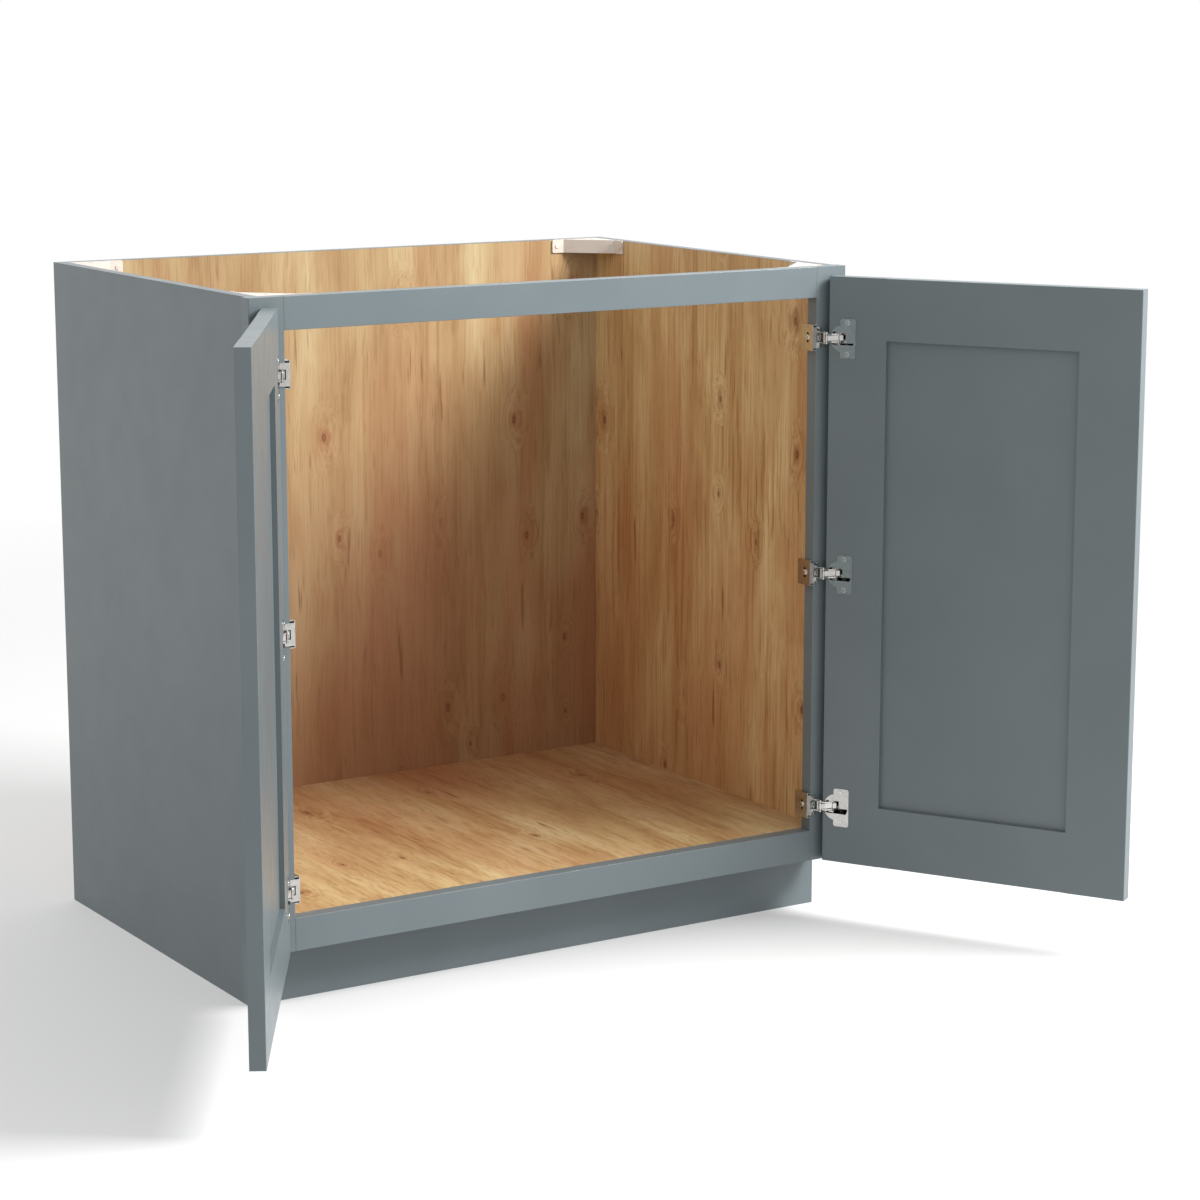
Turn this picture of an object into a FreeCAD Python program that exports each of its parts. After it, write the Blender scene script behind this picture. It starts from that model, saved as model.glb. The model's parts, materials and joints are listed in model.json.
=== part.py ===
"""Kitchen base cabinet: a panel box behind a face frame, with two framed doors.

Millimetres. X runs to the right, Y to the back, Z up. The origin lies on the floor, in the
plane of the wall face, halfway across. The doors stand open.
"""
import FreeCAD
import Part
import math
import os

os.makedirs("parts", exist_ok=True)

V = FreeCAD.Vector
ORIGIN = V(0, 0, 0)
X_AXIS = V(1, 0, 0)
Y_AXIS = V(0, 1, 0)
Z_AXIS = V(0, 0, 1)

# Box
cabinet_width = 863.6
cabinet_depth = 600.0
cabinet_height = 876.3
panel_thickness = 16.0
frame_overhang = 5.0
deck_housing = 6.0
toe_height = 77.0
toe_setback = 50.0

# Face frame
frame_thickness = 19.0
frame_stile_width = 46.0
top_rail_height = 40.0
bottom_rail_height = 41.5
dowel_radius = 4.0
dowel_length = 30.0
dowel_spacing = 20.0
dowel_end_gap = 1.0
frame_ease = 0.5

# Doors
door_thickness = 19.0
door_side_reveal = 6.35
door_top_reveal = 11.7
door_bottom_reveal = 1.6
door_centre_gap = 3.3
door_frame_gap = 3.0
member_width = 81.0
door_panel_thickness = 6.35
front_recess = 6.3
door_groove_depth = 9.0
door_panel_gap = 1.0
edge_round = 1.0

# Hinge pivots, from the opening edge outward and from the frame front toward the room
base_pivot_out = 9.5
base_pivot_fore = 5.0
lever_pivot_out = 9.0
lever_pivot_fore = 10.5
door_pivot_out = 28.0
door_pivot_fore = 7.0
fork_pin_out = 27.4
fork_pin_fore = 11.5
door_open_deg = 120.0
link_turn_deg = 41.5
lever_turn_deg = 17.6
hinge_top_distance = 80.5
hinge_bottom_distance = 75.5

# Hinge cup
cup_radius = 17.4
cup_wall = 0.8
cup_depth = 13.1
cup_floor = 0.7
cup_from_edge = 20.0
cup_bore_gap = 0.1
cup_gap_below = 0.1
flange_radius = 18.0
flange_proud = 0.9
flange_near_edge = 16.2
flange_far_edge = 38.2
flange_height = 52.0
flange_corner = 3.0
slot_half_height = 8.7
cover_thickness = 1.4
cup_ear_inner = 6.3
cup_ear_outer = 7.9
cup_ear_near_edge = 8.6
cup_ear_far_edge = 15.2
cup_ear_top = 1.6

# Hinge links
pin_radius = 0.9
pin_gap = 0.05
rivet_head_radius = 1.4
rivet_head = 0.35
strap_half_width = 0.9
eye_radius = 1.9
barrel_radius = 1.8
cheek_inner = 3.9
cheek_outer = 6.0
lever_half_height = 3.3
first_bend_out = 5.09
first_bend_fore = 3.02
second_bend_out = 10.36
second_bend_fore = 5.08
lever_bend_out = 5.84
lever_bend_fore = 2.83
fork_start = 16.4
fork_end = 21.6
fork_drop = 1.8
fork_slot_centre = 18.6
fork_slot_half = 2.0
fork_wall = 0.7

# Hinge base
sheet = 1.2
leaf_standoff = 6.5
leaf_depth = 25.5
leaf_half_height = 17.2
front_leaf_half_height = 14.0
front_leaf_reach = 7.5
base_corner = 2.0
hook_reach = 4.0
hook_near = 7.0
base_ear_inner = 6.3
base_ear_outer = 7.6
base_ear_margin = 1.8
boss_wall = 2.0
boss_slot_half_height = 5.0
tongue_half_height = 4.4
tongue_slot = 1.6
tongue_start = 1.0
tongue_end = 8.0

# Screws
side_screw_radius = 2.0
side_screw_length = 24.0
side_screw_head_radius = 3.9
side_screw_head = 1.8
side_screw_setback = 10.0
adjuster_radius = 1.5
adjuster_length = 8.0
adjuster_head_radius = 2.7
adjuster_head = 0.55
adjuster_out = 4.0
cup_screw_radius = 1.75
cup_screw_length = 11.0
cup_screw_head_radius = 3.4
cup_screw_head = 0.8
cup_screw_from_edge = 26.0
cup_screw_spacing = 41.0
screw_slot_width = 0.8
screw_slot_depth = 0.35
screw_gap = 0.05

# Corner braces
brace_leg = 75.0
brace_web_leg = 59.0
brace_wall = 2.5
brace_height = 19.0
brace_boss_radius = 6.5
brace_boss_height = 10.0
brace_hole_radius = 2.6
brace_hole_from_corner = 20.0
brace_screw_from_corner = 67.5
brace_screw_radius = 1.9
brace_screw_length = 13.0
brace_screw_head_radius = 3.2
brace_screw_head = 1.2

cut_overrun = 2.0

# Sizes that follow from the ones above
half_width = cabinet_width / 2
box_half_width = half_width - frame_overhang
inner_half_width = box_half_width - panel_thickness
opening_half_width = half_width - frame_stile_width
deck_top = toe_height + bottom_rail_height
deck_underside = deck_top - panel_thickness
back_front_face = cabinet_depth - panel_thickness
toe_board_back = toe_setback + panel_thickness
door_edge = frame_stile_width - door_side_reveal
door_width = half_width - door_side_reveal - door_centre_gap / 2
door_back = -door_frame_gap
door_front = door_back - door_thickness
door_bottom = toe_height + door_bottom_reveal
door_top = cabinet_height - door_top_reveal
groove_front = door_front + front_recess
groove_back = groove_front + door_panel_thickness
hinge_heights = {
    "bottom": door_bottom + hinge_bottom_distance,
    "middle": (door_bottom + door_top) / 2,
    "top": door_top - hinge_top_distance,
}
base_pivot = V(base_pivot_out, -base_pivot_fore, 0)
lever_pivot = V(lever_pivot_out, -lever_pivot_fore, 0)
door_pivot = V(door_pivot_out, -door_pivot_fore, 0)
fork_pin = V(fork_pin_out, -fork_pin_fore, 0)
cup_centre = V(door_edge - cup_from_edge, door_back, 0)
cup_inner_radius = cup_radius - cup_wall
flange_near = door_edge - flange_near_edge
flange_far = door_edge - flange_far_edge
flange_top = door_back + flange_proud
leaf_near = -leaf_standoff
side_screw_seat = leaf_near


def block(x, y, z):
    """A box between pairs of values along X, Y and Z."""
    low = V(min(x), min(y), min(z))
    return Part.makeBox(max(x) - low.x, max(y) - low.y, max(z) - low.z, low)


def round_bar(start, direction, radius, length):
    """A round bar from a point along a direction."""
    return Part.makeCylinder(radius, length, start, direction)


def upright(point, radius, z):
    """A vertical round bar at a point in plan, between two heights."""
    return round_bar(V(point.x, point.y, min(z)), Z_AXIS, radius, max(z) - min(z))


def slab(points, z):
    """A plan outline raised between two heights."""
    corners = [V(p.x, p.y, min(z)) for p in points]
    face = Part.Face(Part.makePolygon(corners + corners[:1]))
    return face.extrude(Z_AXIS * (max(z) - min(z)))


def joined(shapes):
    """Shapes fused to one solid."""
    return shapes[0].fuse(shapes[1:]).removeSplitter()


def less(shape, tools):
    """A shape with tools cut away."""
    return shape.cut(tools)


def rounded(shape, radius, chosen):
    """A shape with the chosen straight edges rounded."""
    edges = [edge for edge in shape.Edges if chosen(edge)]
    return shape.makeFillet(radius, edges)


def runs_along(edge, axis):
    """Whether a straight edge runs along an axis."""
    if len(edge.Vertexes) != len((ORIGIN, axis)):
        return False
    span = edge.Vertexes[1].Point - edge.Vertexes[0].Point
    return abs(span.dot(axis)) >= span.Length * (1 - 1e-9)


def strap(points, half_width, z):
    """A strip of constant width along plan points, with round ends and bends."""
    solids = [upright(point, half_width, z) for point in points]
    for start, end in zip(points, points[1:]):
        along = (end - start).normalize()
        side = V(-along.y, along.x, 0) * half_width
        solids.append(slab([start + side, end + side, end - side, start - side], z))
    return joined(solids)


def both_ways(inner, outer):
    """The two layers above and below the hinge centre."""
    return [(-outer, -inner), (inner, outer)]


def turned(shape, pivot, degrees):
    """A copy turned about a vertical pivot."""
    copy = shape.copy()
    copy.rotate(pivot, Z_AXIS, degrees)
    return copy


def opened_door(shape):
    """A door piece carried from shut to open by the outer links and the door pivot."""
    swung = turned(shape, door_pivot, door_open_deg)
    carried = turned(Part.Vertex(door_pivot), base_pivot, -link_turn_deg).Point
    swung.translate(carried - door_pivot)
    return swung


def placed(shape, side):
    """A piece moved from the opening edge to its side of the cabinet."""
    copy = shape.copy()
    copy.translate(V(opening_half_width, -cabinet_depth, 0))
    return copy if side == "right" else copy.mirror(ORIGIN, X_AXIS)


def at_height(shape, height):
    """A hinge piece lifted to its height."""
    copy = shape.copy()
    copy.translate(Z_AXIS * height)
    return copy


def to_wall(shape):
    """A piece measured from the frame front moved to the wall origin."""
    copy = shape.copy()
    copy.translate(V(0, -cabinet_depth, 0))
    return copy


def save(shape, node):
    """One node written out as a STEP file."""
    shape.exportStep("parts/" + node + ".step")


def save_group(shapes, node):
    """Several equal solids written out as one node."""
    save(Part.makeCompound(shapes), node)


def screw(point, direction, shank, length, head_radius, head):
    """A slotted pan-head screw; the point is where the head seats."""
    inward = V(direction).normalize()
    body = joined([
        round_bar(point, inward, shank, length),
        round_bar(point - inward * head, inward, head_radius, head),
    ])
    rim = [
        edge for edge in body.Edges
        if abs((edge.BoundBox.Center - point).dot(inward) + head) < head / 4
    ]
    body = body.makeFillet(head / 3, rim)
    across = Y_AXIS if abs(inward.x) > abs(inward.y) else X_AXIS
    corner = point - inward * (head + cut_overrun)
    corner = corner - across * (head_radius + cut_overrun) - Z_AXIS * (screw_slot_width / 2)
    slot = Part.Face(Part.makePolygon([
        corner,
        corner + Z_AXIS * screw_slot_width,
        corner + Z_AXIS * screw_slot_width + across * 2 * (head_radius + cut_overrun),
        corner + across * 2 * (head_radius + cut_overrun),
        corner,
    ])).extrude(inward * (screw_slot_depth + cut_overrun))
    return body.cut(slot)


# Corner braces, with the corner at the origin and the walls along X and Y
def brace_screw_points():
    """Where the two screws of a brace seat, with their directions into the walls."""
    height = -brace_height / 2
    return [
        (V(brace_screw_from_corner, brace_wall, height), -Y_AXIS),
        (V(brace_wall, brace_screw_from_corner, height), -X_AXIS),
    ]


def brace():
    """A plastic corner brace: a top web, a slanting front wall and two flanges on the box."""
    slant = brace_wall * math.sqrt(2)
    web = slab([ORIGIN, V(brace_web_leg, 0, 0), V(0, brace_web_leg, 0)], (-brace_wall, 0))
    front_wall = slab([
        V(brace_web_leg, 0, 0),
        V(0, brace_web_leg, 0),
        V(0, brace_web_leg - slant, 0),
        V(brace_web_leg - slant, 0, 0),
    ], (-brace_height, 0))
    hole_point = V(brace_hole_from_corner, brace_hole_from_corner, 0)
    body = joined([
        block((0, brace_leg), (0, brace_wall), (-brace_height, 0)),
        block((0, brace_wall), (0, brace_leg), (-brace_height, 0)),
        web,
        front_wall,
        upright(hole_point, brace_boss_radius, (-brace_boss_height, 0)),
    ])
    body = rounded(body, brace_wall, lambda edge: runs_along(edge, Y_AXIS)
                   and edge.BoundBox.XMin > brace_leg - brace_wall / 2)
    tools = [upright(hole_point, brace_hole_radius, (-brace_boss_height - cut_overrun, cut_overrun))]
    for point, inward in brace_screw_points():
        tools.append(round_bar(point - inward * cut_overrun, inward,
                               brace_screw_radius + screw_gap, brace_wall + 2 * cut_overrun))
    return less(body, tools)


def brace_screws():
    """The two screws of one brace."""
    return [
        screw(point, inward, brace_screw_radius, brace_screw_length,
              brace_screw_head_radius, brace_screw_head)
        for point, inward in brace_screw_points()
    ]


def brace_holes():
    """Holes that the two screws of a brace need in the walls."""
    depth = brace_screw_length + dowel_end_gap
    return [
        round_bar(point - inward * cut_overrun, inward, brace_screw_radius + screw_gap,
                  depth + cut_overrun)
        for point, inward in brace_screw_points()
    ]


def in_corner(shape, corner, side):
    """A brace piece placed in its top corner of the box."""
    copy = shape.copy()
    if corner == "back":
        copy = copy.mirror(ORIGIN, Y_AXIS)
        copy.translate(V(0, back_front_face, 0))
    else:
        copy.translate(V(0, frame_thickness, 0))
    copy.translate(V(-inner_half_width, 0, cabinet_height))
    if side == "right":
        copy = copy.mirror(ORIGIN, X_AXIS)
    return copy


corners = [(corner, side) for corner in ("front", "back") for side in ("left", "right")]
all_brace_holes = [
    in_corner(hole, corner, side) for corner, side in corners for hole in brace_holes()
]
for corner, side in corners:
    save(to_wall(in_corner(brace(), corner, side)), "corner_brace_" + corner + "_" + side)
save_group([
    to_wall(in_corner(item, corner, side))
    for corner, side in corners
    for item in brace_screws()
], "brace_screws")


# Box panels, measured from the frame front
def side_panel():
    """Right side panel, housed for the deck and notched for the toe board."""
    x = (inner_half_width, box_half_width)
    panel = block(x, (frame_thickness, cabinet_depth), (0, cabinet_height))
    toe_notch = block(
        (min(x) - cut_overrun, max(x) + cut_overrun),
        (frame_thickness - cut_overrun, toe_board_back),
        (-cut_overrun, toe_height),
    )
    housing = block(
        (min(x) - cut_overrun, min(x) + deck_housing),
        (frame_thickness - cut_overrun, back_front_face),
        (deck_underside, deck_top),
    )
    return less(panel, [toe_notch, housing])


right_panel = side_panel()
left_panel = right_panel.mirror(ORIGIN, X_AXIS)
save(to_wall(less(right_panel, all_brace_holes)), "side_panel_right")
save(to_wall(less(left_panel, all_brace_holes)), "side_panel_left")

back_panel = block((-inner_half_width, inner_half_width), (back_front_face, cabinet_depth),
                   (0, cabinet_height))
save(to_wall(less(back_panel, all_brace_holes)), "back_panel")

deck_half_width = inner_half_width + deck_housing
deck = block((-deck_half_width, deck_half_width), (frame_thickness, back_front_face),
             (deck_underside, deck_top))
save(to_wall(deck), "deck_panel")

toe_board = joined([
    block((-box_half_width, box_half_width), (toe_setback, toe_board_back), (0, toe_height)),
    block((-inner_half_width, inner_half_width), (toe_setback, toe_board_back),
          (0, deck_underside)),
])
save(to_wall(toe_board), "toe_board")


# Face frame, measured from the frame front
def frame_rail_heights():
    """Lower and upper edge of each frame rail."""
    return {
        "bottom": (toe_height, deck_top),
        "top": (cabinet_height - top_rail_height, cabinet_height),
    }


def dowel_bars(radius, length):
    """Bars across the joints on the right side, at each rail."""
    bars = []
    for low, high in frame_rail_heights().values():
        for offset in (-dowel_spacing / 2, dowel_spacing / 2):
            start = V(opening_half_width - length / 2, frame_thickness / 2,
                      (low + high) / 2 + offset)
            bars.append(round_bar(start, X_AXIS, radius, length))
    return bars


def side_screw_bar(radius, start, length):
    """A bar across the opening edge at the side screw of a hinge."""
    return round_bar(V(start, side_screw_setback, 0), X_AXIS, radius, length)


def adjuster_bar(radius, start, length):
    """A bar into the frame front at the adjusting screw of a hinge."""
    return round_bar(V(adjuster_out, start, 0), Y_AXIS, radius, length)


dowel_holes = dowel_bars(dowel_radius, dowel_length + 2 * dowel_end_gap)
frame_stile = block((opening_half_width, half_width), (0, frame_thickness),
                    (toe_height, cabinet_height))
frame_stile = rounded(frame_stile, edge_round, lambda edge: runs_along(edge, Z_AXIS)
                      and edge.BoundBox.XMin > half_width - edge_round / 2)
frame_stile = rounded(frame_stile, frame_ease, lambda edge: runs_along(edge, Z_AXIS)
                      and edge.BoundBox.XMax < opening_half_width + frame_ease
                      and edge.BoundBox.YMax < frame_ease)
stile_tools = list(dowel_holes)
for height in hinge_heights.values():
    side_hole = side_screw_bar(side_screw_radius + screw_gap, -cut_overrun,
                               side_screw_length - leaf_standoff + dowel_end_gap + cut_overrun)
    front_hole = adjuster_bar(adjuster_radius + screw_gap, -cut_overrun,
                              adjuster_length + cut_overrun)
    for hole in (side_hole, front_hole):
        moved = at_height(hole, height)
        moved.translate(V(opening_half_width, 0, 0))
        stile_tools.append(moved)
frame_stile = less(frame_stile, stile_tools)
save(to_wall(frame_stile), "face_stile_right")
save(to_wall(frame_stile.mirror(ORIGIN, X_AXIS)), "face_stile_left")

rail_tools = all_brace_holes + dowel_holes
rail_tools += [hole.mirror(ORIGIN, X_AXIS) for hole in dowel_holes]
for name, heights in frame_rail_heights().items():
    rail = block((-opening_half_width, opening_half_width), (0, frame_thickness), heights)
    rail = rounded(rail, frame_ease, lambda edge: edge.BoundBox.YMax < frame_ease)
    save(to_wall(less(rail, rail_tools)), "face_rail_" + name)

dowels = dowel_bars(dowel_radius, dowel_length)
dowels += [dowel.mirror(ORIGIN, X_AXIS) for dowel in dowels]
save_group([to_wall(dowel) for dowel in dowels], "frame_dowels")


# Hinge pieces, measured outward from the opening edge, from the frame front and from the
# hinge centre, with the door shut
def rivet(pivot, reach, start):
    """A pin from a start height to a reach, with a head on each end."""
    return joined([
        upright(pivot, pin_radius, (start, reach)),
        upright(pivot, rivet_head_radius, (reach, reach + rivet_head)),
        upright(pivot, rivet_head_radius, (start - rivet_head, start)),
    ])


def pin_hole(pivot, reach):
    """The hole that a pin runs in, cut to both sides of the hinge centre."""
    return upright(pivot, pin_radius + pin_gap, (-reach - cut_overrun, reach + cut_overrun))


def hinge_base():
    """Stamped base that wraps the frame stile and carries the two base pins."""
    leaf = block((leaf_near, leaf_near + sheet), (-sheet, leaf_depth),
                 (-leaf_half_height, leaf_half_height))
    leaf = rounded(leaf, base_corner, lambda edge: runs_along(edge, X_AXIS)
                   and edge.BoundBox.YMin > leaf_depth / 2)
    front = block((leaf_near, front_leaf_reach), (-sheet, 0),
                  (-front_leaf_half_height, front_leaf_half_height))
    front = rounded(front, base_corner, lambda edge: runs_along(edge, Y_AXIS)
                    and edge.BoundBox.XMin > front_leaf_reach / 2)
    front_returns = [
        block((leaf_near, 0), (0, frame_thickness), layer)
        for layer in both_ways(leaf_half_height - sheet, leaf_half_height)
    ]
    hooks = [
        block((leaf_near, hook_reach), (frame_thickness, frame_thickness + sheet), layer)
        for layer in both_ways(hook_near, leaf_half_height)
    ]
    boss_half = side_screw_radius + screw_gap + boss_wall
    boss = joined([
        block((leaf_near, 0), (side_screw_setback - boss_half, side_screw_setback + boss_half),
              (-boss_slot_half_height, boss_slot_half_height)),
        at_height(side_screw_bar(boss_half, leaf_near, leaf_standoff), boss_slot_half_height),
        at_height(side_screw_bar(boss_half, leaf_near, leaf_standoff), -boss_slot_half_height),
    ])
    ears = []
    for layer in both_ways(base_ear_inner, base_ear_outer):
        ears.append(strap([
            V(base_pivot.x, -base_ear_margin, 0), base_pivot, lever_pivot,
        ], base_ear_margin, layer))
        ears.append(slab([
            V(front_leaf_reach - base_ear_margin, 0, 0),
            V(base_pivot.x + base_ear_margin, 0, 0),
            V(base_pivot.x + base_ear_margin, -base_ear_margin, 0),
            V(base_pivot.x - base_ear_margin, base_pivot.y, 0),
            V(front_leaf_reach - base_ear_margin, -sheet, 0),
        ], layer))
    slot_half = side_screw_radius + screw_gap
    slot_start = leaf_near - cut_overrun
    slot_length = leaf_standoff + 2 * cut_overrun
    slot = joined([
        block((slot_start, slot_start + slot_length),
              (side_screw_setback - slot_half, side_screw_setback + slot_half),
              (-boss_slot_half_height, boss_slot_half_height)),
        at_height(side_screw_bar(slot_half, slot_start, slot_length), boss_slot_half_height),
        at_height(side_screw_bar(slot_half, slot_start, slot_length), -boss_slot_half_height),
    ])
    tongue_cuts = [
        block((tongue_start - tongue_slot, tongue_start), (-sheet - cut_overrun, 0),
              (-tongue_half_height - tongue_slot, tongue_half_height + tongue_slot)),
        adjuster_bar(adjuster_radius + screw_gap, -sheet - cut_overrun, sheet + cut_overrun),
    ]
    for layer in both_ways(tongue_half_height, tongue_half_height + tongue_slot):
        tongue_cuts.append(block((tongue_start - tongue_slot, tongue_end - tongue_slot),
                                 (-sheet - cut_overrun, 0), layer))
    front = less(front, tongue_cuts)
    body = joined([leaf, front, boss] + front_returns + hooks + ears)
    holes = [pin_hole(pivot, base_ear_outer) for pivot in (base_pivot, lever_pivot)]
    return less(body, [slot] + holes)


def outer_link():
    """Bowed link from the base pin to the door pivot: two cheeks on a barrel."""
    centre_line = [
        base_pivot,
        base_pivot + V(first_bend_out, -first_bend_fore, 0),
        base_pivot + V(second_bend_out, -second_bend_fore, 0),
        door_pivot,
    ]
    solids = [upright(base_pivot, barrel_radius, (-cheek_outer, cheek_outer))]
    for layer in both_ways(cheek_inner, cheek_outer):
        solids.append(strap(centre_line, strap_half_width, layer))
        solids.append(upright(base_pivot, eye_radius, layer))
        solids.append(upright(door_pivot, eye_radius, layer))
    body = joined(solids)
    return less(body, [pin_hole(pivot, cheek_outer) for pivot in (base_pivot, door_pivot)])


def inner_link():
    """Bowed lever from its base pin to an open fork round the fork pin."""
    layer = (-lever_half_height, lever_half_height)
    fork_line = lever_pivot.y - fork_drop
    fork_half = fork_slot_half + fork_wall
    fork_x = (lever_pivot.x + fork_start, lever_pivot.x + fork_end)
    body = joined([
        strap([
            lever_pivot,
            lever_pivot + V(lever_bend_out, -lever_bend_fore, 0),
            V(min(fork_x) + fork_wall, fork_line, 0),
        ], strap_half_width, layer),
        upright(lever_pivot, eye_radius, layer),
        block(fork_x, (fork_line - fork_half, fork_line + fork_half), layer),
    ])
    body = rounded(body, fork_wall / 2, lambda edge: runs_along(edge, Z_AXIS)
                   and abs(edge.BoundBox.XMin - max(fork_x)) < fork_wall / 4)
    slot_centre = V(lever_pivot.x + fork_slot_centre, fork_line, 0)
    slot = joined([
        upright(slot_centre, fork_slot_half, (-cheek_outer, cheek_outer)),
        block((slot_centre.x, max(fork_x) + cut_overrun),
              (fork_line - fork_slot_half, fork_line + fork_slot_half),
              (-cheek_outer, cheek_outer)),
    ])
    return less(body, [slot, pin_hole(lever_pivot, cheek_outer)])


def hinge_cup():
    """Pressed cup under a flange with a straight far side, and two ears for the pins."""
    depth = V(0, -1, 0)
    bottom = cup_centre + depth * (cup_depth - cup_gap_below)
    shell = round_bar(cup_centre, depth, cup_radius, cup_depth - cup_gap_below)
    rim = round_bar(cup_centre + Y_AXIS * flange_proud, depth, flange_radius, flange_proud)
    strip = block((flange_far, flange_near), (door_back, flange_top),
                  (-flange_height / 2, flange_height / 2))
    strip = rounded(strip, flange_corner, lambda edge: runs_along(edge, Y_AXIS))
    outside = joined([shell, rim, strip])
    cavity = round_bar(cup_centre + Y_AXIS * cut_overrun, depth, cup_inner_radius,
                       cup_depth - cup_gap_below - cup_floor + cut_overrun)
    path = block((door_edge - cup_from_edge, door_edge + cut_overrun),
                 (door_back, door_back + cut_overrun), (-slot_half_height, slot_half_height))
    body = less(outside, [cavity, path])
    covers = []
    disc = round_bar(V(cup_centre.x, flange_top, 0), depth, cup_radius, cover_thickness)
    for layer in both_ways(slot_half_height, flange_radius):
        covers.append(disc.common(block(
            (cup_centre.x - flange_radius, cup_centre.x + flange_radius),
            (flange_top - cover_thickness, flange_top), layer)))
    ears = [
        block((door_edge - cup_ear_far_edge, door_edge - cup_ear_near_edge),
              (bottom.y + cup_floor / 2, door_back - cup_ear_top), layer)
        for layer in both_ways(cup_ear_inner, cup_ear_outer)
    ]
    body = joined([body] + covers + ears)
    tools = [pin_hole(pivot, cup_ear_outer) for pivot in (door_pivot, fork_pin)]
    tools += [
        round_bar(point + Y_AXIS * cut_overrun, depth, cup_screw_radius + screw_gap,
                  flange_proud + 2 * cut_overrun)
        for point in cup_screw_points()
    ]
    return less(body, tools)


def cup_screw_points():
    """Where the two screws of a cup seat on its flange."""
    x = door_edge - cup_screw_from_edge
    return [V(x, flange_top, z) for z in (-cup_screw_spacing / 2, cup_screw_spacing / 2)]


def cup_bores():
    """Holes that a cup and its screws need in the door stile."""
    depth = V(0, -1, 0)
    tools = [
        round_bar(point, depth, cup_screw_radius + screw_gap, cup_screw_length + dowel_end_gap)
        for point in cup_screw_points()
    ]
    tools.append(round_bar(cup_centre + Y_AXIS * cut_overrun, depth, cup_radius + cup_bore_gap,
                           cup_depth + cut_overrun))
    return tools


base_piece = hinge_base()
cup_piece = opened_door(hinge_cup())
outer_piece = turned(outer_link(), base_pivot, -link_turn_deg)
inner_piece = turned(inner_link(), lever_pivot, -lever_turn_deg)
base_pins = [
    rivet(pivot, base_ear_outer, -base_ear_outer) for pivot in (base_pivot, lever_pivot)
]
link_rivets = [
    opened_door(rivet(door_pivot, high, low))
    for low, high in ((cheek_inner, cup_ear_outer), (-cup_ear_outer, -cheek_inner))
]
fork_pin_piece = opened_door(rivet(fork_pin, cup_ear_outer, -cup_ear_outer))
side_screw = screw(V(side_screw_seat, side_screw_setback, 0), X_AXIS, side_screw_radius,
                   side_screw_length, side_screw_head_radius, side_screw_head)
adjuster = screw(V(adjuster_out, -sheet, 0), Y_AXIS, adjuster_radius, adjuster_length,
                 adjuster_head_radius, adjuster_head)
cup_screws = [
    opened_door(screw(point, V(0, -1, 0), cup_screw_radius, cup_screw_length,
                      cup_screw_head_radius, cup_screw_head))
    for point in cup_screw_points()
]


def on_hinges(pieces, sides):
    """Copies of hinge pieces at every hinge of the given sides."""
    return [
        placed(at_height(piece, height), side)
        for side in sides
        for height in hinge_heights.values()
        for piece in pieces
    ]


both_sides = ("left", "right")
save_group(on_hinges(base_pins, both_sides), "hinge_base_pins")
save_group(on_hinges([side_screw], both_sides), "hinge_side_screws")
save_group(on_hinges([adjuster], both_sides), "hinge_adjusting_screws")
for side in both_sides:
    for place, height in hinge_heights.items():
        name = "_" + side + "_" + place
        save(placed(at_height(base_piece, height), side), "hinge_base" + name)
        save(placed(at_height(cup_piece, height), side), "hinge_cup" + name)
        save(placed(at_height(outer_piece, height), side), "outer_link" + name)
    save_group(on_hinges([inner_piece], [side]), "inner_links_" + side)
    save_group(on_hinges(link_rivets, [side]), "link_rivets_" + side)
    save_group(on_hinges([fork_pin_piece], [side]), "fork_pins_" + side)
    save_group(on_hinges(cup_screws, [side]), "cup_screws_" + side)


# Door pieces, measured like the hinge pieces but from the floor, with the door shut
def door_pieces():
    """The four members and the panel of one door."""
    outer = (door_edge - door_width, door_edge)
    inner = (min(outer) + member_width, door_edge - member_width)
    height = (door_bottom, door_top)
    inner_height = (door_bottom + member_width, door_top - member_width)
    thick = (door_front, door_back)
    groove = (groove_front, groove_back)
    hollow = block((min(inner) - door_groove_depth, max(inner) + door_groove_depth), groove,
                   (door_bottom - cut_overrun, door_top + cut_overrun))
    hinge_stile = block((max(inner), max(outer)), thick, height).cut(hollow)
    free_stile = block((min(outer), min(inner)), thick, height).cut(hollow)
    panel_hollow = block(
        (min(outer), max(outer)), groove,
        (min(inner_height) - door_groove_depth, max(inner_height) + door_groove_depth),
    )
    pieces = {}
    for name, span in (("bottom", (door_bottom, min(inner_height))),
                       ("top", (max(inner_height), door_top))):
        tongue = block((min(inner) - door_groove_depth, max(inner) + door_groove_depth),
                       groove, span)
        rail = joined([block(inner, thick, span), tongue]).cut(panel_hollow)
        edge_z = door_bottom if name == "bottom" else door_top
        pieces["rail_" + name] = rounded(rail, edge_round, lambda edge: is_rim(edge, edge_z))
    bores = [
        at_height(tool, hinge_height)
        for hinge_height in hinge_heights.values()
        for tool in cup_bores()
    ]
    pieces["stile_hinge"] = rounded(hinge_stile, edge_round, lambda edge: is_outer(
        edge, max(outer))).cut(bores)
    pieces["stile_free"] = rounded(free_stile, edge_round,
                                   lambda edge: is_outer(edge, min(outer)))
    reach = door_groove_depth - door_panel_gap
    pieces["panel"] = block((min(inner) - reach, max(inner) + reach), groove,
                            (min(inner_height) - reach, max(inner_height) + reach))
    return pieces


def is_rim(edge, height):
    """Whether an edge is a long outer edge of a door rail at a height."""
    box = edge.BoundBox
    level = abs(box.ZMin - height) + abs(box.ZMax - height) < edge_round
    on_face = min(abs(box.YMin - door_front), abs(box.YMax - door_back)) < edge_round
    return level and on_face and runs_along(edge, X_AXIS)


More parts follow.
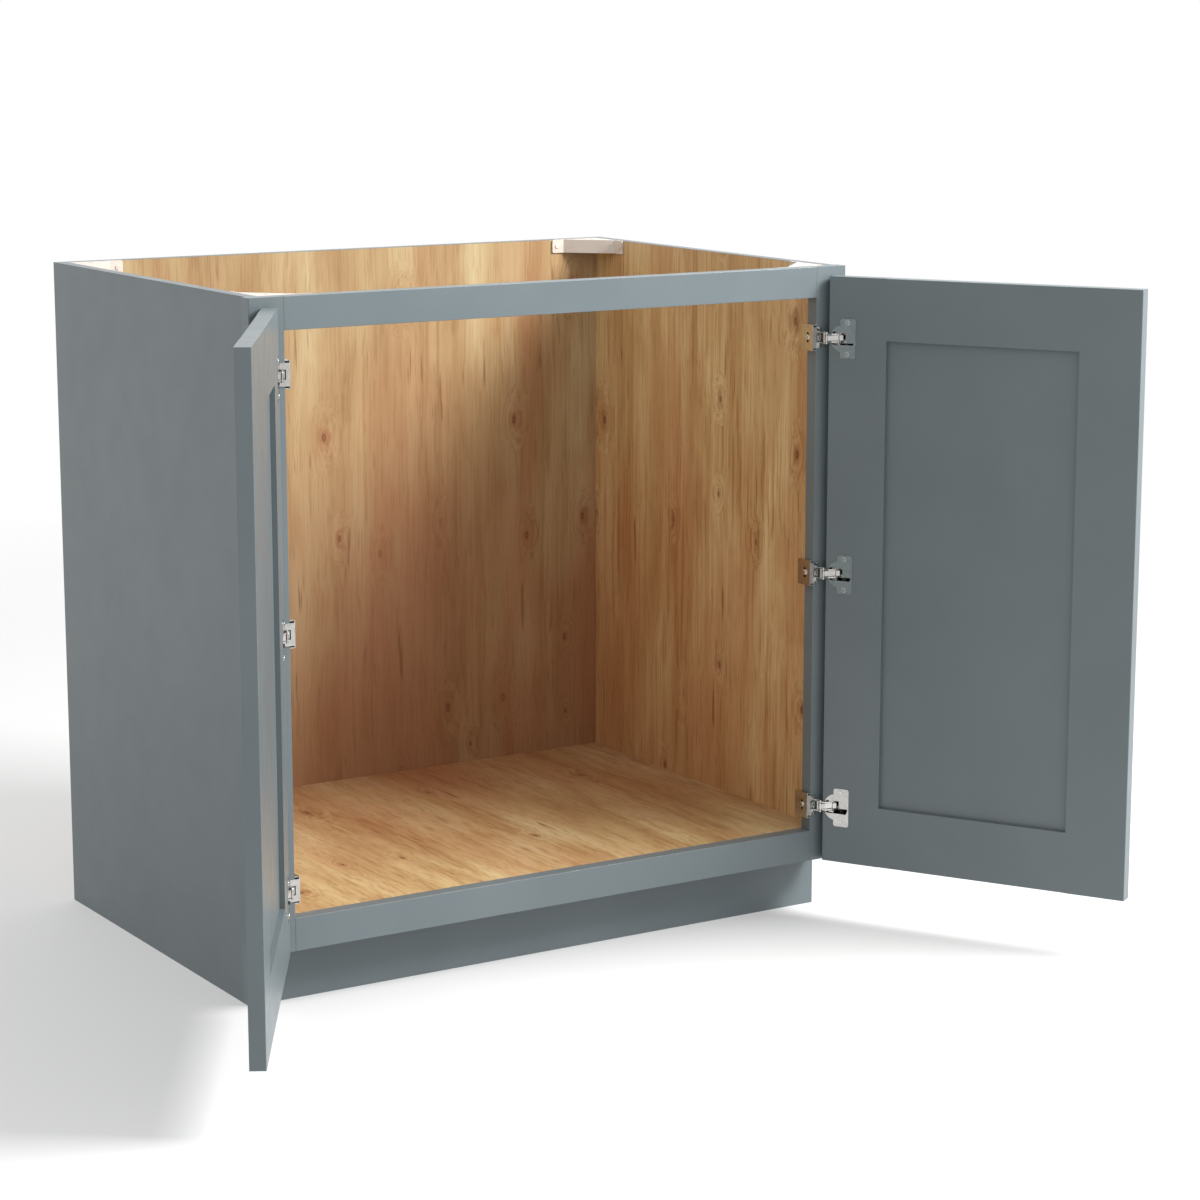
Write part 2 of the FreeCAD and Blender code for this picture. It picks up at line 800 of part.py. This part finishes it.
def is_outer(edge, x):
    """Whether an edge is a long outer edge of a door stile."""
    box = edge.BoundBox
    return abs(box.XMin - x) < edge_round and runs_along(edge, Z_AXIS)


for name, piece in door_pieces().items():
    swung = opened_door(piece)
    for side in both_sides:
        save(placed(swung, side), "door_" + name + "_" + side)
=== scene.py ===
"""Looks, light and camera for the kitchen base cabinet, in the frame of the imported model.

Lengths are in metres. X runs to the right seen from the front, Y to the back, and Z up.
"""
import json
import math

import bpy
from mathutils import Euler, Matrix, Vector

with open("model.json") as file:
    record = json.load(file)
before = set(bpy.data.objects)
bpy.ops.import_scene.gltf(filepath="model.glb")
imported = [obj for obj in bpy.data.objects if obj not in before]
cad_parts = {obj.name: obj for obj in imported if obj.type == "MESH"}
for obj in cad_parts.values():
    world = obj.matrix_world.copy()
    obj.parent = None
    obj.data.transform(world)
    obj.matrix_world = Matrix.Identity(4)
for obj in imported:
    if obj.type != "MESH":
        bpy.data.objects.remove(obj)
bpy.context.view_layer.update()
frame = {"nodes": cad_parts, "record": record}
nodes = frame["nodes"]
scene = bpy.context.scene


def srgb(red, green, blue):
    """A linear colour from 8-bit sRGB values."""
    def channel(value):
        value = value / 255
        return value / 12.92 if value <= 0.04045 else ((value + 0.055) / 1.055) ** 2.4
    return tuple(channel(value) for value in (red, green, blue))


# Colours
WHITE = (1.0, 1.0, 1.0)
PAINT = srgb(90, 99, 102)
PAINT_LIGHT = srgb(94, 103, 106)
# How much darker the paint on the boards' outer faces and top edges is made: painted shade
SIDE_PAINTED_SHADE = (0.88, 0.88, 0.88)
WOOD_GROUND = [(0.32, srgb(156, 126, 87)), (0.50, srgb(173, 149, 108)),
               (0.68, srgb(188, 171, 132))]
WOOD_BANDS = [(0.34, srgb(234, 221, 207)), (0.52, srgb(251, 248, 244)), (0.66, WHITE)]
WOOD_STREAKS = [(0.34, srgb(212, 188, 162)), (0.50, srgb(249, 245, 239)), (0.66, WHITE)]
WOOD_PORES = [(0.35, srgb(206, 184, 160)), (0.48, WHITE)]
# Rosy wood colour, used for random rosy patches and for painted shade
WOOD_ROSY_AND_PAINTED_SHADE = srgb(156, 107, 72)
NICKEL = (0.55, 0.54, 0.52)
STEEL = (0.62, 0.61, 0.59)
DULLED = 0.86

# How strongly bands and pores show in the wood, and the strength and tint of each mark
BAND_STRENGTH = 0.7
PORE_STRENGTH = 0.6
KNOT_FIGURE = (0.5, srgb(122, 76, 42))
KNOT_HALO = (0.5, srgb(130, 80, 46))
KNOT_CORE = (0.85, srgb(84, 46, 24))
DASH = (0.7, srgb(108, 66, 36))

# Gloss
SATIN_SPECULAR = 0.4
PAINT_ROUGHNESS = (0.30, 0.37)
WOOD_ROUGHNESS = (0.50, 0.40)

# Where the values of a noise mostly lie, and from none to full
NOISE_RANGE = (0.3, 0.7)
WHOLE_RANGE = (0.0, 1.0)

# Sockets by their numbers: on the mix node, several share a name
MIX_FIRST, MIX_SECOND, MIX_RESULT = 6, 7, 2
NOISE_VALUE, NOISE_COLOUR = 0, 1


# Node helpers
def material(name):
    """A new node material with its tree, its shader and the object coordinates."""
    made = bpy.data.materials.new(name)
    made.use_nodes = True
    tree = made.node_tree
    shader = next(n for n in tree.nodes if n.type == "BSDF_PRINCIPLED")
    coords = tree.nodes.new("ShaderNodeTexCoord")
    return made, tree, shader, coords.outputs["Object"]


def math_node(tree, operation, first, second=None):
    """A math node on one or two sockets or numbers."""
    node = tree.nodes.new("ShaderNodeMath")
    node.operation = operation
    for slot, value in zip(node.inputs, (first, second)):
        if value is None:
            continue
        if isinstance(value, (int, float)):
            slot.default_value = value
        else:
            tree.links.new(value, slot)
    return node.outputs[0]


def along_axis(axis, value, others=1.0):
    """Three numbers: a value for one axis, and another one for the rest."""
    return [value if letter == axis else others for letter in "XYZ"]


def coordinate(tree, vector, axis):
    """One coordinate of a vector."""
    node = tree.nodes.new("ShaderNodeSeparateXYZ")
    tree.links.new(vector, node.inputs[0])
    return node.outputs["XYZ".index(axis)]


def stretched(tree, vector, scale, location=(0, 0, 0)):
    """The coordinates scaled differently along each axis."""
    node = tree.nodes.new("ShaderNodeMapping")
    node.inputs["Scale"].default_value = scale
    node.inputs["Location"].default_value = location
    tree.links.new(vector, node.inputs["Vector"])
    return node.outputs["Vector"]


def moved_by(tree, vector, push, amount):
    """Coordinates pushed about by a colour or a value."""
    scaled = tree.nodes.new("ShaderNodeVectorMath")
    scaled.operation = "SCALE"
    scaled.inputs["Scale"].default_value = amount
    tree.links.new(push, scaled.inputs[0])
    moved = tree.nodes.new("ShaderNodeVectorMath")
    moved.operation = "ADD"
    tree.links.new(vector, moved.inputs[0])
    tree.links.new(scaled.outputs[0], moved.inputs[1])
    return moved.outputs[0]


def noise(tree, vector, scale, detail=3.0, rough=0.5, distortion=0.0, output=NOISE_VALUE):
    """A noise texture's value or colour."""
    node = tree.nodes.new("ShaderNodeTexNoise")
    node.inputs["Scale"].default_value = scale
    node.inputs["Detail"].default_value = detail
    node.inputs["Roughness"].default_value = rough
    node.inputs["Distortion"].default_value = distortion
    tree.links.new(vector, node.inputs["Vector"])
    return node.outputs[output]


def ramp(tree, value, stops):
    """A colour ramp through (position, colour) stops."""
    node = tree.nodes.new("ShaderNodeValToRGB")
    points = node.color_ramp.elements
    while len(points) < len(stops):
        points.new(0.5)
    for point, (position, colour) in zip(points, stops):
        point.position = position
        point.color = (*colour, 1.0)
    tree.links.new(value, node.inputs["Fac"])
    return node.outputs["Color"]


def spread(tree, value, source, target=WHOLE_RANGE):
    """A value moved from one range to another, clamped."""
    node = tree.nodes.new("ShaderNodeMapRange")
    for name, number in zip(("From Min", "From Max", "To Min", "To Max"), (*source, *target)):
        node.inputs[name].default_value = number
    tree.links.new(value, node.inputs["Value"])
    return node.outputs["Result"]


def mixed(tree, factor, first, second, blend="MIX"):
    """Two colours mixed by a factor."""
    node = tree.nodes.new("ShaderNodeMix")
    node.data_type = "RGBA"
    node.blend_type = blend
    for slot, value in ((node.inputs["Factor"], factor), (node.inputs[MIX_FIRST], first),
                        (node.inputs[MIX_SECOND], second)):
        if isinstance(value, (int, float)):
            slot.default_value = value
        elif isinstance(value, tuple):
            slot.default_value = (*value, 1.0)
        else:
            tree.links.new(value, slot)
    return node.outputs[MIX_RESULT]


def tinted(tree, colour, place, strength, tint):
    """A colour with a tint over it where a value is high."""
    return mixed(tree, math_node(tree, "MULTIPLY", place, strength), colour, tint)


def bump(tree, shader, height, strength, distance):
    """A bump on the shader from a height."""
    node = tree.nodes.new("ShaderNodeBump")
    node.inputs["Strength"].default_value = strength
    node.inputs["Distance"].default_value = distance
    tree.links.new(height, node.inputs["Height"])
    tree.links.new(node.outputs["Normal"], shader.inputs["Normal"])


# Paint
def paint_colour(tree, coords):
    """Blue-grey paint with a faint unevenness."""
    cloud = noise(tree, coords, scale=7.0, detail=2.0)
    return mixed(tree, spread(tree, cloud, NOISE_RANGE), PAINT, PAINT_LIGHT)


def paint_gloss(tree, coords):
    """The roughness of satin paint."""
    return spread(tree, noise(tree, coords, scale=25.0), NOISE_RANGE, PAINT_ROUGHNESS)


def painted():
    """Satin blue-grey paint with a sprayed-on skin."""
    made, tree, shader, coords = material("satin_paint")
    shader.inputs["Specular IOR Level"].default_value = SATIN_SPECULAR
    tree.links.new(paint_colour(tree, coords), shader.inputs["Base Color"])
    tree.links.new(paint_gloss(tree, coords), shader.inputs["Roughness"])
    bump(tree, shader, noise(tree, coords, scale=900.0, detail=2.0),
         strength=0.06, distance=0.0004)
    return made


# Wood
def knots(tree, coords, across, along, warp):
    """How near each place on a board is to a knot: its wide ring, its halo and its core.

    Some cells of a pattern in the board's plane, drawn out along the grain, hold a knot, and
    the middle of its core is lighter.
    """
    warped = moved_by(tree, coords, warp, amount=0.014)
    plane = tree.nodes.new("ShaderNodeCombineXYZ")
    for slot, axis, cells_per_metre in ((0, across, 10.0), (1, along, 5.2)):
        place = coordinate(tree, warped, axis)
        tree.links.new(math_node(tree, "MULTIPLY", place, cells_per_metre), plane.inputs[slot])
    cells = tree.nodes.new("ShaderNodeTexVoronoi")
    cells.voronoi_dimensions = "2D"
    cells.inputs["Scale"].default_value = 1.0
    tree.links.new(plane.outputs[0], cells.inputs["Vector"])

    chance = tree.nodes.new("ShaderNodeSeparateColor")
    tree.links.new(cells.outputs["Color"], chance.inputs["Color"])
    present = spread(tree, chance.outputs["Red"], (0.48, 0.62))
    smallness = spread(tree, chance.outputs["Green"], WHOLE_RANGE, (0.75, 1.9))
    away = math_node(tree, "MULTIPLY", cells.outputs["Distance"], smallness)

    def within(full, none):
        """1 up to one distance from a knot, 0 past another one."""
        return math_node(tree, "MULTIPLY", spread(tree, away, (full, none), (1.0, 0.0)), present)

    lighter_middle = spread(tree, away, (0.006, 0.020), (0.3, 1.0))
    core = math_node(tree, "MULTIPLY", within(0.020, 0.042), lighter_middle)
    return within(0.02, 0.30), within(0.03, 0.12), core


def dashes(tree, coords, along):
    """Short dark marks along the grain, in some zones of a board."""
    marks = noise(tree, stretched(tree, coords, along_axis(along, 9.0, others=150.0)),
                  scale=1.0, detail=2.0)
    zones = noise(tree, coords, scale=8.0, detail=2.0)
    return math_node(tree, "MULTIPLY", spread(tree, marks, (0.64, 0.72)),
                     spread(tree, zones, (0.50, 0.60)))


def patches(tree, coords, along, location, scale, detail=2.0, distortion=0.0):
    """Broad patches drawn out along the grain; each location gives others."""
    drawn_out = stretched(tree, coords, along_axis(along, 0.24), location)
    return noise(tree, drawn_out, scale=scale, detail=detail, distortion=distortion)


def wood_ground(tree, coords, along, rosy_range, tone):
    """The wood's colour without its grain: yellow to rosy in random patches, rosy towards one
    end of the grain as painted shade, and scaled per board as painted light and shade.
    """
    broad = patches(tree, coords, along, (0.4, 0.2, 0.7), scale=13.0, detail=4.0, distortion=0.6)
    rosy = patches(tree, coords, along, (2.1, 1.3, 0.4), scale=9.0, distortion=0.4)
    # Painted shade: the wood turns rosy and darker towards one end of the grain axis, the bottom
    # of the sides and back and the back of the deck
    painted_shade_gradient = spread(tree, coordinate(tree, coords, along), rosy_range, (0.0, 0.65))
    rosy_patches_and_painted_shade = math_node(tree, "ADD", painted_shade_gradient, spread(tree, rosy, (0.42, 0.70), (0.0, 0.45)))
    colour = mixed(tree, rosy_patches_and_painted_shade, ramp(tree, broad, WOOD_GROUND), WOOD_ROSY_AND_PAINTED_SHADE)
    # Painted light and shade: each board's wood is made lighter or darker by how lit it lies,
    # the sides lighter and the back darker
    return mixed(tree, 1.0, colour, (tone, tone, tone), "MULTIPLY")


def wood_colour(tree, coords, across, along, rosy_range, tone, crisp, run):
    """Light rustic wood with its grain along an axis, and the height of its grain.

    The wood turns from yellow at the first of two given places on the grain's axis to rosy at
    the second; this rosiness is painted shade. How strongly its streaks and pores show is crisp,
    and the smaller run is, the longer they are.
    """
    warp = noise(tree, coords, scale=9.0, output=NOISE_COLOUR)
    ring, halo, core = knots(tree, coords, across, along, warp)

    lines = stretched(tree, coords, along_axis(along, run))
    lines = moved_by(tree, lines, warp, amount=0.008)
    lines = moved_by(tree, lines, ring, amount=0.018)
    band = noise(tree, lines, scale=30.0, rough=0.55)
    streak = noise(tree, lines, scale=150.0, detail=4.0, rough=0.6)
    pore = noise(tree, lines, scale=430.0, detail=2.0, rough=0.6)
    lively = patches(tree, coords, along, (3.7, 0.9, 1.8), scale=10.0)
    streak_strength = spread(tree, lively, (0.40, 0.62), (0.25 * crisp, 0.95 * crisp))

    colour = wood_ground(tree, coords, along, rosy_range, tone)
    for strength, value, stops in ((BAND_STRENGTH, band, WOOD_BANDS),
                                   (streak_strength, streak, WOOD_STREAKS),
                                   (PORE_STRENGTH * crisp, pore, WOOD_PORES)):
        colour = mixed(tree, strength, colour, ramp(tree, value, stops), "MULTIPLY")

    figure = math_node(tree, "MULTIPLY", ring, spread(tree, streak, (0.40, 0.54), (1.0, 0.0)))
    for place, (strength, tint) in ((figure, KNOT_FIGURE), (halo, KNOT_HALO), (core, KNOT_CORE),
                                    (dashes(tree, coords, along), DASH)):
        colour = tinted(tree, colour, place, strength, tint)
    return colour, streak


def wood_surface(tree, shader, height, gloss):
    """A clear finish that follows the grain."""
    tree.links.new(gloss, shader.inputs["Roughness"])
    bump(tree, shader, height, strength=0.05, distance=0.0005)


def board(name, limits, **grain):
    """A board with wood faces, and paint past a distance along an axis or two.

    What is in grain goes to wood_colour.
    """
    made, tree, shader, coords = material(name)
    shader.inputs["Specular IOR Level"].default_value = SATIN_SPECULAR
    wood, height = wood_colour(tree, coords, **grain)
    beyond = 0.0
    for axis, limit in limits:
        distance = math_node(tree, "ABSOLUTE", coordinate(tree, coords, axis))
        past = math_node(tree, "GREATER_THAN", distance, limit)
        beyond = math_node(tree, "MAXIMUM", beyond, past)
    inside = math_node(tree, "SUBTRACT", 1.0, beyond)
    # The paint on the outer faces and top edges is darkened here: painted shade
    skin = mixed(tree, 1.0, paint_colour(tree, coords), SIDE_PAINTED_SHADE, "MULTIPLY")
    tree.links.new(mixed(tree, beyond, wood, skin), shader.inputs["Base Color"])
    wood_gloss = spread(tree, height, NOISE_RANGE, WOOD_ROUGHNESS)
    gloss = math_node(tree, "ADD", math_node(tree, "MULTIPLY", wood_gloss, inside),
                      math_node(tree, "MULTIPLY", paint_gloss(tree, coords), beyond))
    wood_surface(tree, shader, math_node(tree, "MULTIPLY", height, inside), gloss)
    return made


def plywood(name, **grain):
    """Wood on every face. What is in grain goes to wood_colour."""
    made, tree, shader, coords = material(name)
    wood, height = wood_colour(tree, coords, **grain)
    tree.links.new(wood, shader.inputs["Base Color"])
    wood_surface(tree, shader, height, spread(tree, height, NOISE_RANGE, WOOD_ROUGHNESS))
    return made


# Metal, enamel and plastic
def metal(name, colour, roughness):
    """Bright plated metal with faint rolling marks."""
    made, tree, shader, coords = material(name)
    shader.inputs["Metallic"].default_value = 1.0
    rolled = noise(tree, stretched(tree, coords, along_axis("Z", 0.12)), scale=700.0)
    cloud = noise(tree, coords, scale=180.0)
    dulled = tuple(DULLED * value for value in colour)
    tree.links.new(mixed(tree, spread(tree, cloud, (0.35, 0.65)), colour, dulled),
                   shader.inputs["Base Color"])
    tree.links.new(spread(tree, cloud, NOISE_RANGE, roughness), shader.inputs["Roughness"])
    bump(tree, shader, rolled, strength=0.05, distance=0.0002)
    return made


def enamel():
    """Pale enamel over steel."""
    made, tree, shader, coords = material("coated_screw")
    cloud = noise(tree, coords, scale=300.0, detail=2.0)
    tree.links.new(mixed(tree, cloud, srgb(188, 179, 170), srgb(196, 188, 180)),
                   shader.inputs["Base Color"])
    tree.links.new(spread(tree, cloud, NOISE_RANGE, (0.30, 0.40)), shader.inputs["Roughness"])
    return made


def plastic():
    """Pale moulded plastic that lets a little light in."""
    made, tree, shader, coords = material("brace_plastic")
    cloud = noise(tree, coords, scale=30.0, detail=2.0)
    tree.links.new(mixed(tree, spread(tree, cloud, NOISE_RANGE), srgb(184, 174, 165),
                         srgb(193, 184, 176)), shader.inputs["Base Color"])
    shader.inputs["Subsurface Weight"].default_value = 0.2
    shader.inputs["Subsurface Radius"].default_value = (0.004, 0.003, 0.002)
    grainy = noise(tree, coords, scale=400.0, detail=2.0)
    tree.links.new(spread(tree, grainy, NOISE_RANGE, (0.36, 0.46)), shader.inputs["Roughness"])
    bump(tree, shader, noise(tree, coords, scale=1400.0, detail=1.0),
         strength=0.05, distance=0.0002)
    return made


# The outer faces of the sides and the boards' top edges lie just past these, and are painted
OUTER_FACE = 0.4109
RIM = 0.8760
# Per board, the wood is made lighter on the sides as painted light and darker on the back as
# painted shade, and it turns rosy towards the bottom of the sides and back and the back of the
# deck as painted shade
FINISH = {
    "painted_wood": painted(),
    "side_board": board("side_board", [("X", OUTER_FACE), ("Z", RIM)], across="Y", along="Z",
                        rosy_range=(0.80, -1.80), tone=1.23, crisp=0.95, run=0.03),
    "back_board": board("back_board", [("Z", RIM)], across="X", along="Z",
                        rosy_range=(0.90, 0.22), tone=0.80, crisp=0.60, run=0.03),
    "deck_board": plywood("deck_board", across="X", along="Y",
                          rosy_range=(-0.52, 0.05), tone=1.02, crisp=0.95, run=0.09),
    "hinge_nickel": metal("hinge_nickel", NICKEL, roughness=(0.07, 0.13)),
    "screw_steel": metal("screw_steel", STEEL, roughness=(0.16, 0.24)),
    "brace_plastic": plastic(),
    "dowel_wood": plywood("dowel_wood", across="Y", along="X",
                          rosy_range=(-0.40, 0.40), tone=1.0, crisp=0.8, run=0.05),
    "coated_screw": enamel(),
}
for entry in frame["record"]["subparts"]:
    node = nodes[entry["node"]]
    if not node.material_slots:
        node.data.materials.append(FINISH[entry["material_slot"]])
    for slot in node.material_slots:
        slot.material = FINISH[entry["material_slot"]]


# Floor, light and camera
def floor():
    """A wide pale floor that shows soft shadows near the cabinet and is plain white far off."""
    half = 60.0
    mesh = bpy.data.meshes.new("floor")
    mesh.from_pydata([(-half, -half, 0), (half, -half, 0), (half, half, 0), (-half, half, 0)],
                     [], [(0, 1, 2, 3)])
    ground = bpy.data.objects.new("floor", mesh)
    scene.collection.objects.link(ground)
    made, tree, shader, coords = material("floor_pale")
    cloud = noise(tree, coords, scale=2.0, detail=2.0)
    tree.links.new(mixed(tree, cloud, (0.38, 0.38, 0.38), (0.40, 0.40, 0.40)),
                   shader.inputs["Base Color"])
    shader.inputs["Roughness"].default_value = 0.7
    shader.inputs["Specular IOR Level"].default_value = 0.1
    shader.inputs["Emission Color"].default_value = (*WHITE, 1.0)
    shader.inputs["Emission Strength"].default_value = 0.30
    away = tree.nodes.new("ShaderNodeVectorMath")
    away.operation = "LENGTH"
    tree.links.new(coords, away.inputs[0])
    far_off = spread(tree, away.outputs["Value"], (1.6, 3.2))
    glow = tree.nodes.new("ShaderNodeEmission")
    blend = tree.nodes.new("ShaderNodeMixShader")
    out = next(n for n in tree.nodes if n.type == "OUTPUT_MATERIAL")
    tree.links.new(far_off, blend.inputs["Fac"])
    tree.links.new(shader.outputs[0], blend.inputs[1])
    tree.links.new(glow.outputs[0], blend.inputs[2])
    tree.links.new(blend.outputs[0], out.inputs["Surface"])
    mesh.materials.append(made)


def lamp(name, place, aim, size, power):
    """A soft square light at a place, pointed at a spot."""
    data = bpy.data.lights.new(name, "AREA")
    data.shape = "SQUARE"
    data.size = size
    data.energy = power
    light = bpy.data.objects.new(name, data)
    light.location = place
    light.rotation_mode = "QUATERNION"
    light.rotation_quaternion = (Vector(aim) - Vector(place)).to_track_quat("-Z", "Y")
    scene.collection.objects.link(light)


def studio():
    """White surroundings, a little brighter overhead."""
    world = bpy.data.worlds.new("studio")
    scene.world = world
    world.use_nodes = True
    tree = world.node_tree
    backdrop = next(n for n in tree.nodes if n.type == "BACKGROUND")
    backdrop.inputs["Color"].default_value = (*WHITE, 1.0)
    direction = tree.nodes.new("ShaderNodeTexCoord").outputs["Generated"]
    strength = spread(tree, coordinate(tree, direction, "Z"),
                      source=(0.1, 1.0), target=(1.0, 1.25))
    tree.links.new(strength, backdrop.inputs["Strength"])


def photo_camera(place, down, turn):
    """The photograph's camera, looking down and turned to the right by so many degrees."""
    image_width = 1200
    focal_pixels = 3124.67
    camera = bpy.data.cameras.new("camera")
    camera.sensor_fit = "HORIZONTAL"
    camera.angle = 2 * math.atan(image_width / 2 / focal_pixels)
    view = bpy.data.objects.new("camera", camera)
    view.location = place
    view.rotation_euler = Euler((math.radians(90 - down), 0, math.radians(-turn)))
    scene.collection.objects.link(view)
    scene.camera = view


floor()
studio()
scene.view_settings.view_transform = "Standard"
lamp("key", place=(2.25, -2.4, 2.8), aim=(0, -0.4, 0.4), size=1.35, power=296)
photo_camera(place=(-2.01812, -3.90312, 1.21838), down=10.881, turn=32.079)

bpy.context.view_layer.update()
